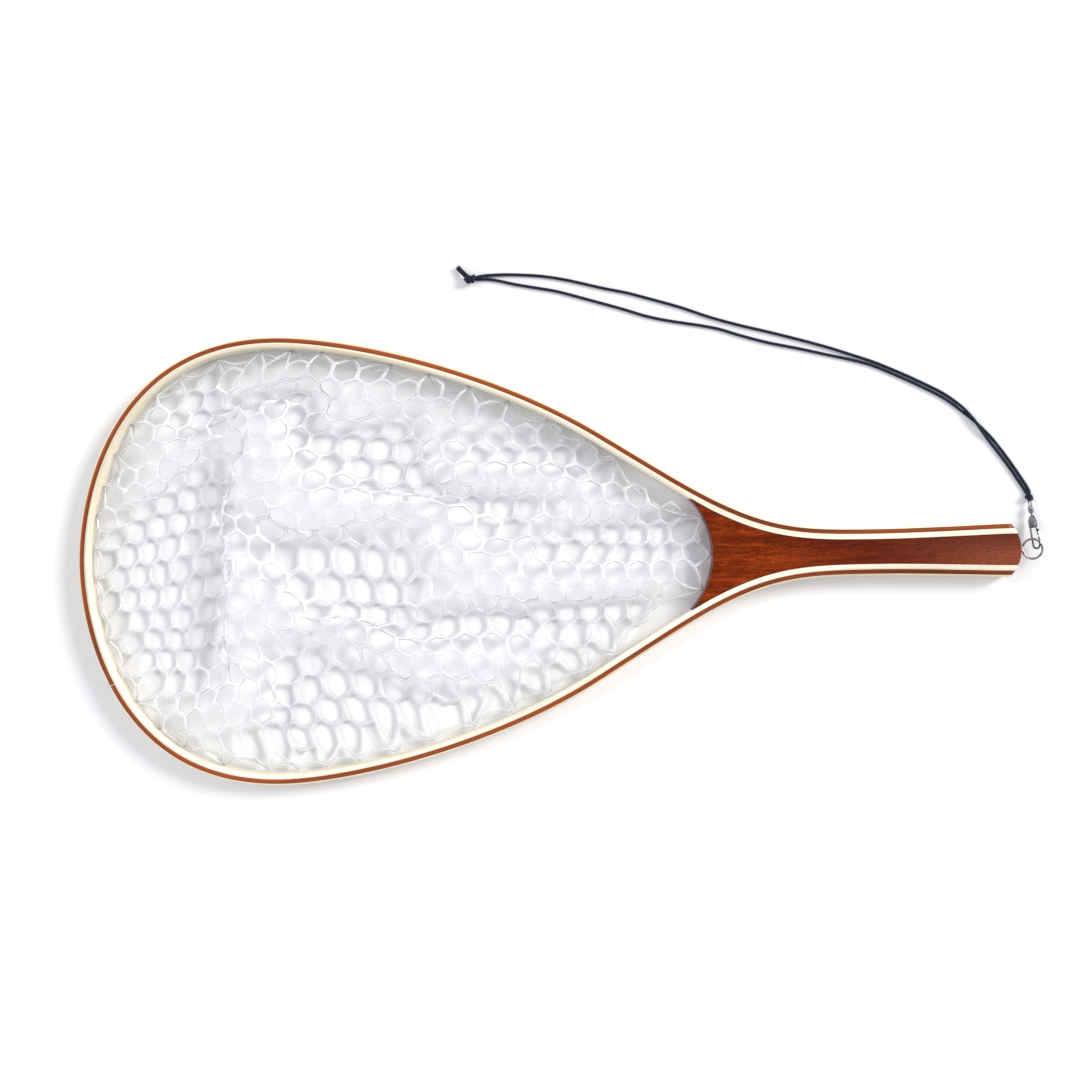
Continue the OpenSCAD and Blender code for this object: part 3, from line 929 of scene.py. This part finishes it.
def collapse(sheet, rim):
    """Lets the dome fall into a heap inside the hoop, and returns where its points end up."""
    scene = bpy.context.scene
    scene.gravity = (0, 0, -9.81)
    pins = sheet.vertex_groups.new(name="rim")
    pins.add(rim, 1.0, "REPLACE")

    table = new_object("sim_table", [(-0.5, -0.3, 0), (0.3, -0.3, 0), (0.3, 0.3, 0),
                                     (-0.5, 0.3, 0)], [(0, 1, 2, 3)])
    ring = []
    for d in (WALL, WALL * 0.45):
        ring.append([at(s, d) for s in np.arange(-0.56, 0.561, 0.008)])
    wall = []
    for pts, z in ((ring[0], 0.0), (ring[0], WOOD_T - 0.001), (ring[1], WOOD_T)):
        wall += [(p[0], p[1], z) for p in pts]
    hoop = new_object("sim_hoop", wall, grid_faces(3, len(ring[0])))
    for ob, thick in ((table, 0.0010), (hoop, 0.0006)):
        ob.modifiers.new("Collision", "COLLISION")
        ob.collision.thickness_outer = thick
        ob.collision.cloth_friction = 8

    mod = sheet.modifiers.new("Cloth", "CLOTH")
    cloth, hit = mod.settings, mod.collision_settings
    cloth.quality = 6
    cloth.mass = 0.3
    cloth.tension_stiffness = cloth.compression_stiffness = 15
    cloth.shear_stiffness = 5
    cloth.bending_stiffness = 60
    cloth.air_damping = 1
    cloth.vertex_group_mass = "rim"
    cloth.pin_stiffness = 1
    hit.collision_quality = 3
    hit.distance_min = 0.001
    hit.use_self_collision = True
    hit.self_distance_min = 0.0018
    hit.self_friction = 3
    mod.point_cache.frame_start, mod.point_cache.frame_end = 1, FRAMES
    for f in range(1, FRAMES + 1):
        scene.frame_set(f)
    dg = bpy.context.evaluated_depsgraph_get()
    done = sheet.evaluated_get(dg)
    result = np.array([tuple(v.co) for v in done.data.vertices])
    scene.frame_set(1)
    for ob in (table, hoop, sheet):
        bpy.data.objects.remove(ob)
    above = np.maximum(result[:, 2] - LOW, 0)
    result[:, 2] = np.minimum(result[:, 2], LOW) + HEAP * (1 - np.exp(-above / HEAP))
    return result


def refine(points, faces):
    """The same mesh after one round of smooth subdivision, as (points, faces)."""
    ob = new_object("refine", points, faces)
    sub = ob.modifiers.new("Subdivision", "SUBSURF")
    sub.levels = 1
    dg = bpy.context.evaluated_depsgraph_get()
    mesh = ob.evaluated_get(dg).to_mesh()
    out = np.array([tuple(v.co) for v in mesh.vertices])
    polys = [tuple(p.vertices) for p in mesh.polygons]
    bpy.data.objects.remove(ob)
    return out, polys


class Draped:
    """Carries a point of the flat sheet to where the collapsed sheet is, and the normal there."""

    def __init__(self, flat, fallen, faces):
        flat3 = [(x, y, 0) for x, y in flat]
        self.flat, polys = refine(flat3, faces)
        self.fallen, _ = refine(fallen, faces)
        self.tris = [t for a, b, c, d in polys for t in ((a, b, c), (a, c, d))]
        self.tree = BVHTree.FromPolygons([tuple(p) for p in self.flat], self.tris)
        t = np.array(self.tris)
        n = np.cross(self.fallen[t[:, 1]] - self.fallen[t[:, 0]],
                     self.fallen[t[:, 2]] - self.fallen[t[:, 0]])
        self.normals = np.zeros_like(self.fallen)
        for k in range(3):
            np.add.at(self.normals, t[:, k], n)
        self.normals /= np.linalg.norm(self.normals, axis=1)[:, None] + 1e-12

    def __call__(self, p):
        _, _, i, _ = self.tree.find_nearest((p[0], p[1], 0))
        a, b, c = self.tris[i]
        pa, pb, pc = (self.flat[k][:2] for k in (a, b, c))
        m = np.array((pb - pa, pc - pa)).T
        u, v = np.linalg.solve(m, np.asarray(p) - pa)
        u, v = max(-0.2, u), max(-0.2, v)
        w = (1 - u - v, u, v)
        q = sum(k * self.fallen[j] for k, j in zip(w, (a, b, c)))
        n = sum(k * self.normals[j] for k, j in zip(w, (a, b, c)))
        return q, n / (np.linalg.norm(n) + 1e-12)


def net_cells(outline, ties):
    """The hexagonal cells, each as 24 points of its edge, with the rim's corners drawn out."""
    slack = 2.5 * MM + 4 * MM * np.clip((outline[:, 0] - 0.02) / 0.06, 0, 1)
    slack += 7 * MM * np.clip((outline[:, 0] + 0.16) / 0.08, 0, 1) * (outline[:, 1] < -0.03)
    shrunk = drawn_in(outline, slack)
    corner = CELL / math.sqrt(3)
    spokes = [(corner * math.cos(math.radians(30 + 60 * k)),
               corner * math.sin(math.radians(30 + 60 * k))) for k in range(6)]
    cells, count = [], Counter()
    key = lambda p: (round(p[0] * 1e5), round(p[1] * 1e5))
    for j in range(-14, 15):
        for i in range(-26, 26):
            c = CENTRE + (CELL * (i + (j % 2) / 2), CELL * 0.8660254 * j)
            corners = [c + s for s in spokes]
            if all(inside(q, shrunk) for q in corners):
                cells.append(corners)
                count.update(key(q) for q in corners)
    rim = {k: np.array(k) * 1e-5 for k, n in count.items() if n < 3}
    pulls = []
    longest_pull, spread, reach_squared = 0.034, 0.0065, 0.0012
    for t, inward in ties:
        k = min(rim, key=lambda q: np.linalg.norm(rim[q] - t))
        if np.linalg.norm(rim[k] - t) < longest_pull:
            pulls.append((rim.pop(k), t + inward * 1.4 * MM))

    def drawn(p):
        """The bag's rim is drawn out to each tie, and its neighbours follow part of the way."""
        shift, total = np.zeros(2), 1e-9
        for a, t in pulls:
            d2 = float(((p - a) ** 2).sum())
            if d2 < reach_squared:
                w = math.exp(-d2 / (2 * spread**2))
                shift += (t - a) * w * (w if d2 > 1e-10 else 1)
                total += w
        return p + shift / max(1.0, total)

    out = []
    for corners in cells:
        c = [drawn(q) for q in corners]
        ring, keys = [], []
        for k in range(6):
            a, b = c[k], c[(k + 1) % 6]
            ka, kb = key(corners[k]), key(corners[(k + 1) % 6])
            for t in range(SIDE):
                ring.append(a + (b - a) * t / SIDE)
                keys.append(ka if t == 0 else ((ka, kb, t) if ka < kb else (kb, ka, SIDE - t)))
        out.append((ring, keys))
    return out


def net_mesh(name, cells, draped):
    """The moulded net: round strands with a fillet at each junction, as one closed surface."""
    verts, faces, shared, rim_out = [], [], {}, {}
    half_t, n = STRAND / 2, 6 * SIDE
    profile = [math.radians(a) for a in (90, 60, 30, 0, -30, -60, -90)]
    used = Counter(frozenset(side) for _, keys in cells
                   for side in zip(keys, keys[1:] + keys[:1]))

    def put(p, heights):
        q, up = draped(p)
        q[2] = max(q[2], half_t + 0.2 * MM)
        for h in heights:
            verts.append(q + up * h)
        return list(range(len(verts) - len(heights), len(verts)))

    def section(key, p, out, half_w):
        """Half a strand's section: from its top, round the side that faces out, to its bottom."""
        if key not in shared:
            shared[key] = put(p, (half_t, -half_t))
        row = [0] * 7
        row[0], row[6] = shared[key]
        for m in (1, 2):
            wide, high = math.cos(profile[m]) ** SQUARE, math.sin(profile[m]) ** SQUARE
            row[m], row[6 - m] = put(p + out * half_w * wide, (half_t * high, -half_t * high))
        row[3], = put(p + out * half_w, (0.0,))
        return row

    def skin(a, b):
        faces.extend((a[m], b[m], b[m + 1], a[m + 1]) for m in range(6))

    for ring, keys in cells:
        centre = sum(ring) / n
        ways = [(centre - p) / np.linalg.norm(centre - p) for p in ring]
        rows = [section(keys[k], ring[k], ways[k], HALF_WIDTH[k % SIDE]) for k in range(n)]
        for k in range(n):
            skin(rows[k], rows[(k + 1) % n])
            if used[frozenset((keys[k], keys[(k + 1) % n]))] == 1:
                for m in (k, (k + 1) % n):
                    way = rim_out.setdefault(keys[m], [ring[m], np.zeros(2)])
                    way[1] = way[1] - ways[m]
    rim_rows = {k: section(k, p, v / (np.linalg.norm(v) + 1e-12), 0.9 * MM)
                for k, (p, v) in rim_out.items()}
    for _, keys in cells:
        for a, b in zip(keys, keys[1:] + keys[:1]):
            if used[frozenset((a, b))] == 1:
                skin(rim_rows[b], rim_rows[a])
    ob = new_object(name, verts, faces)
    face_out(ob)
    return ob


def tie_pieces(ties):
    """At each hole, a thread that comes out of the wood and is knotted round the bag's rim."""
    parts = []
    for i, (p, inward) in enumerate(ties):
        way = Vector((*inward, 0))
        hole = Vector((*p, MID_Z))
        lean = Vector((0, 0, 1)) * (0.25 if i % 2 else -0.2)
        parts.append(tube("thread", smooth_path([hole - way * 2.0 * MM, hole + way * 0.2 * MM,
                                                 hole + way * 1.6 * MM], 0.0006), 0.42 * MM, 10))
        parts.append(wound_knot("bead", hole + way * 1.5 * MM, way + lean, 0.75 * MM, 2.0,
                                0.75 * MM, 0.42 * MM, 0.2, 16))
    fit(join("bag_ties", parts), THREAD, "tie_thread", "net_ties", "net")


def rim_strand(ties):
    """The bag's own rim: a thick strand from tie to tie, slack between them."""
    order = sorted(ties, key=lambda t: math.atan2(t[0][1], t[0][0] - CENTRE[0]))
    pts = []
    for i, (p, inward) in enumerate(order):
        q, way = order[(i + 1) % len(order)]
        a, b = p + inward * 2.0 * MM, q + way * 2.0 * MM
        bow = (inward + way) / 2 * (0.16 * np.linalg.norm(b - a))
        sag = -2.5 * MM * noise.noise(Vector((i * 1.7, 0.3, 0.9))) - 1.0 * MM
        pts.append((*a, MID_Z))
        pts.append((*(a * 0.7 + b * 0.3 + bow * 0.8), MID_Z + sag))
        pts.append((*(a * 0.3 + b * 0.7 + bow * 0.8), MID_Z + sag))
    path = smooth_path(pts + pts[:1], 0.0015)[:-1]
    ob = tube("bag_rim", path, 0.95 * MM, 12, closed=True)
    return fit(ob, RUBBER, "clear_mesh", "net_bag", "net")


def bag():
    """The net on its fallen sheet."""
    outline = mouth_outline()
    ties = tie_places()
    flat, faces, dome = bag_sheet(outline)
    rim = list(range(len(outline)))
    dome[rim, 2] = MID_Z
    fallen = dome * (1, 1, 0.1) + (0, 0, 2 * MM)
    fallen = collapse(new_object("sim_sheet", dome, faces), rim)
    draped = Draped(flat, fallen, faces)
    cells = net_cells(outline, ties)
    net = fit(net_mesh("bag_net", cells, draped), RUBBER, "clear_mesh", "net_bag", "net")
    tie_pieces(ties)
    rim_strand(ties)


bag()

# ---- the metal parts


def on_path(points, step=0.15):
    """A path given in the snap's own millimetres, smoothed and placed."""
    return [on_snap(*q) for q in smooth_path(points, step)]


def arc(cx, cy, r, a1, a2, n=16, z=0.0):
    return [(cx + r * math.cos(math.radians(a1 + (a2 - a1) * i / n)),
             cy + r * math.sin(math.radians(a1 + (a2 - a1) * i / n)), z) for i in range(n + 1)]


def turned(name, profile, along, sides=40, lobes=0, depth=0.0):
    """A turned piece: (distance, radius) pairs in mm along a line of the snap's frame."""
    origin, way = (Vector(v) for v in along)
    side = way.orthogonal().normalized()
    up = way.cross(side)
    verts = []
    for d, r, *knurled in profile:
        for k in range(sides):
            a = 2 * math.pi * k / sides
            rr = r * (1 + (depth * math.cos(lobes * a) if knurled else 0))
            q = origin + way * d + (side * math.cos(a) + up * math.sin(a)) * rr
            verts.append(on_snap(*q))
    ob = new_object(name, verts, ring_faces(len(profile), sides))
    sharpen(ob, 40)
    return ob


def screw_eye():
    """One bent wire: the shank in the handle's end, then round to a small gap."""
    r = EYE_WIRE / 2
    ring = [Vector((X_EYE + EYE_R * math.cos(a), EYE_R * math.sin(a), MID_Z))
            for a in np.linspace(math.radians(-168), math.radians(166), 90)]
    start = X_EYE - EYE_R
    lead = [Vector((start - d * MM, y * MM, MID_Z)) for d, y in
            ((18.4, 0), (14, 0), (10, 0), (6.5, 0), (3.6, 0), (2.0, -0.05), (0.8, -0.5))]
    path = smooth_path(lead, 0.0004)[:-1] + ring
    radii = [r * (1.25 if p.x < start - 0.003 else 1.0) for p in path]
    radii[-2:] = [r * 0.9, r * 0.55]
    fit(tube("eye_wire", path, radii, 20), NICKEL, "eye_steel", "screw_eye", "net")


def snap_hook():
    """The snap's frame: a wire down the closed side, round under the eye, and up to its tip."""
    path = [(-2.4, 13.0, 0), (-2.9, 11.5, 0), (-3, 9, 0), (-3, 5, 0), (-3, 1, 0), (-3, -1.4, 0)]
    path += arc(0, -3, 3, 180, 360, 22)
    path += [(3, -1.6, 0), (3, 0, 0), (2.95, 1.0, 0.05), (2.85, 1.5, 0.1)]
    wire = on_path(path)
    radii = [0.6 * MM] * len(wire)
    radii[-3:] = [0.56 * MM, 0.45 * MM, 0.25 * MM]
    return fit(tube("hook_wire", wire, radii, 20), DARK_NICKEL, "snap_steel", "snap_hook", "snap")


def snap_clasp():
    """The clasp: a sheet folded over at the neck, with its two leaves round the wires."""
    left = lambda y: float(np.interp(y, (8.2, 8.9, 13.0, 14.6, 16.6), (-3.35, -3.7, -3.7, -2.6,
                                                                      -1.15)))
    right = lambda y: float(np.interp(y, (8.2, 8.8, 11.5, 14.2, 16.6), (2.6, 2.95, 3.0, 2.1,
                                                                       1.15)))
    gap = 0.73
    sweep = [(8.2 + 7.4 * i / 18, gap * min(1, 1.06 - 0.06 * i / 18)) for i in range(19)]
    sweep += [(15.6 + gap * math.sin(a), gap * math.cos(a))
              for a in np.linspace(0.15, math.pi - 0.15, 11)]
    sweep += [(y, -z) for y, z in reversed(sweep[:19])]
    cols, verts = 13, []
    for y, z in sweep:
        for c in range(cols):
            t = -1 + 2 * c / (cols - 1)
            mid, half = (left(y) + right(y)) / 2, (right(y) - left(y)) / 2
            curl = 1 - 0.42 * max(0.0, abs(t) - 0.72) / 0.28
            verts.append(on_snap(mid + half * t, y, z * curl))
    ob = new_object("clasp_sheet", verts, grid_faces(len(sweep), cols))
    thicken(ob, 0.34 * MM, 0.09 * MM)
    return fit(ob, SHEET_METAL, "clasp_steel", "snap_clasp", "snap")


def snap_gate():
    """The gate: an eyelet round the rivet, the wire that closes the hook, and a thumb tab."""
    px, py = 1.7, 9.8
    path = arc(px, py, 0.82, 60, -250, 30)
    path += [(px + 0.05, py - 1.7, 0), (2.0, 7.2, 0), (2.5, 4.6, 0), (2.8, 3.0, 0), (2.85, 2.4, 0)]
    wire = tube("gate_wire", on_path(path), 0.42 * MM, 16)
    rows, cols, verts = 9, 7, []
    for i in range(rows):
        t = i / (rows - 1)
        half = 0.80 * math.sqrt(max(0.05, 1 - (2 * t - 1) ** 4))
        for c in range(cols):
            s = -1 + 2 * c / (cols - 1)
            verts.append(on_snap(2.15 + 2.1 * t, 6.0 + half * s, 0.28 * t * t - 0.12 * s * s))
    tab = new_object("gate_tab", verts, grid_faces(rows, cols))
    thicken(tab, 0.36 * MM, 0.08 * MM)
    return [fit(ob, DARK_NICKEL, "snap_steel", "snap_gate", "gate") for ob in (wire, tab)]


def rivet_and_swivel():
    dome = [(-1.28, 0.25), (-1.24, 0.6), (-1.12, 0.82), (-0.95, 0.9), (-0.9, 0.9), (-0.9, 0.5)]
    dome += [(-d, r) for d, r in reversed(dome)]
    rivet = turned("rivet", dome, ((1.7, 9.8, 0), (0, 0, 1)))
    fit(rivet, NICKEL, "snap_steel", "gate_rivet", "snap")
    stem = turned("stem", [(14.9, 0.3), (15.1, 0.75), (15.5, 0.8), (15.8, 0.5), (16.4, 0.5),
                           (16.6, 0.95), (17.0, 1.05), (17.3, 0.95), (17.4, 0.5), (19.6, 0.5),
                           (19.65, 0.98), (20.5, 0.98), (20.6, 0.8)], ((0, 0, 0), (0, 1, 0)))
    fit(stem, NICKEL, "snap_steel", "swivel_stem", "snap")
    shell = [(18.0, 0.75), (18.02, 1.0), (18.15, 1.32), (18.45, 1.6), (18.7, 1.7, 1),
             (19.3, 1.72, 1), (19.9, 1.72, 1), (20.0, 1.58), (20.2, 1.58), (20.3, 1.72, 1),
             (21.0, 1.72, 1), (21.9, 1.70, 1), (22.2, 1.6), (22.45, 1.35), (22.58, 1.0),
             (22.6, 0.5)]
    barrel = turned("barrel", shell, ((0, 0, 0), (0, 1, 0)), 96, 16, 0.035)
    fit(barrel, SHEET_METAL, "snap_steel", "swivel_barrel", "swivel")
    path = [(-0.5, 21.8, 0), (-0.75, 22.6, 0), (-1.05, 23.6, 0), (-1.1, 25, 0), (-1.1, 26.6, 0)]
    path += arc(0, 27.5, 1.1, 180, 0, 14)
    path += [(-x, y, z) for x, y, z in reversed(path[:5])]
    loop = tube("loop_wire", on_path(path, 0.12), 0.35 * MM, 16)
    fit(loop, DARK_NICKEL, "snap_steel", "swivel_loop", "swivel")
    return [rivet, stem, barrel, loop]


screw_eye()
declare_cords(STRANDS, [*ON_CORD, snap_hook(), snap_clasp(), *snap_gate(), *rivet_and_swivel()])
